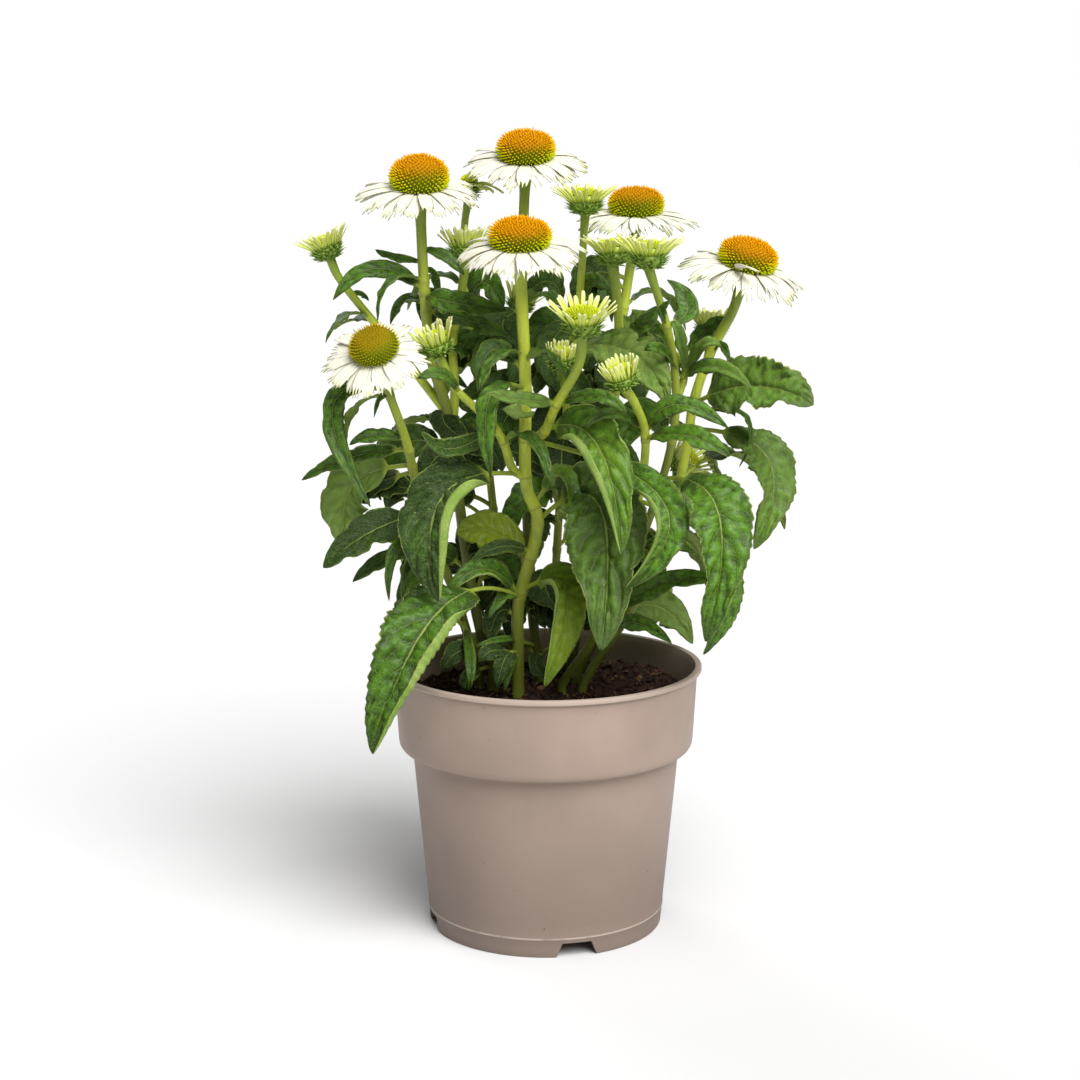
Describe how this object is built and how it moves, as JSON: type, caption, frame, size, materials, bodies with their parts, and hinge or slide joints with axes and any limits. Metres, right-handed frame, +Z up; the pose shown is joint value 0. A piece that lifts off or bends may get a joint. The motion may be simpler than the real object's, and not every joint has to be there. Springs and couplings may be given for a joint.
{
  "type": "potted coneflower plant",
  "caption": "Bushy coneflower with white drooping rays, orange cones and green buds on leafy stems, growing in a round taupe nursery pot.",
  "frame": {"origin": "middle of the pot's foot, on the surface it stands on", "axes": "+Z up the plant, -Y towards the plant's front, where its largest leaves hang over the rim, +X to the right seen from there"},
  "size_m": [0.3084, 0.2195, 0.4838],
  "materials": {
    "pot": "satin",
    "soil": "matte",
    "leaf": "satin",
    "ray": "matte",
    "cone": "matte",
    "bud_ray": "matte",
    "bud_disc": "matte"
  },
  "bodies": {
    "root": {"pot": "pot", "soil": "soil", "stem_front": "leaf", "stem_left": "leaf", "stem_low": "leaf", "stem_top": "leaf", "stem_back": "leaf", "stem_middle": "leaf", "stem_right": "leaf", "stem_right_mid": "leaf", "stem_outer": "leaf", "stem_near": "leaf", "rays_a": "ray", "rays_b": "ray", "rays_c": "ray", "rays_d": "ray", "rays_e": "ray", "rays_f": "ray", "cone_a": "cone", "cone_b": "cone", "cone_c": "cone", "cone_d": "cone", "cone_e": "cone", "cone_f": "cone", "rays_g": "bud_ray", "cone_g": "bud_disc", "bud_h": "bud_ray", "bud_i": "bud_ray", "bud_j": "bud_ray", "bud_k": "bud_ray", "bud_l": "bud_ray", "bud_m": "bud_ray", "bud_n": "bud_ray", "bud_o": "bud_ray", "bud_p": "bud_ray", "bud_q": "bud_ray", "bud_r": "bud_ray", "bud_s": "bud_ray", "bud_t": "bud_ray"}
  },
  "joints": []
}
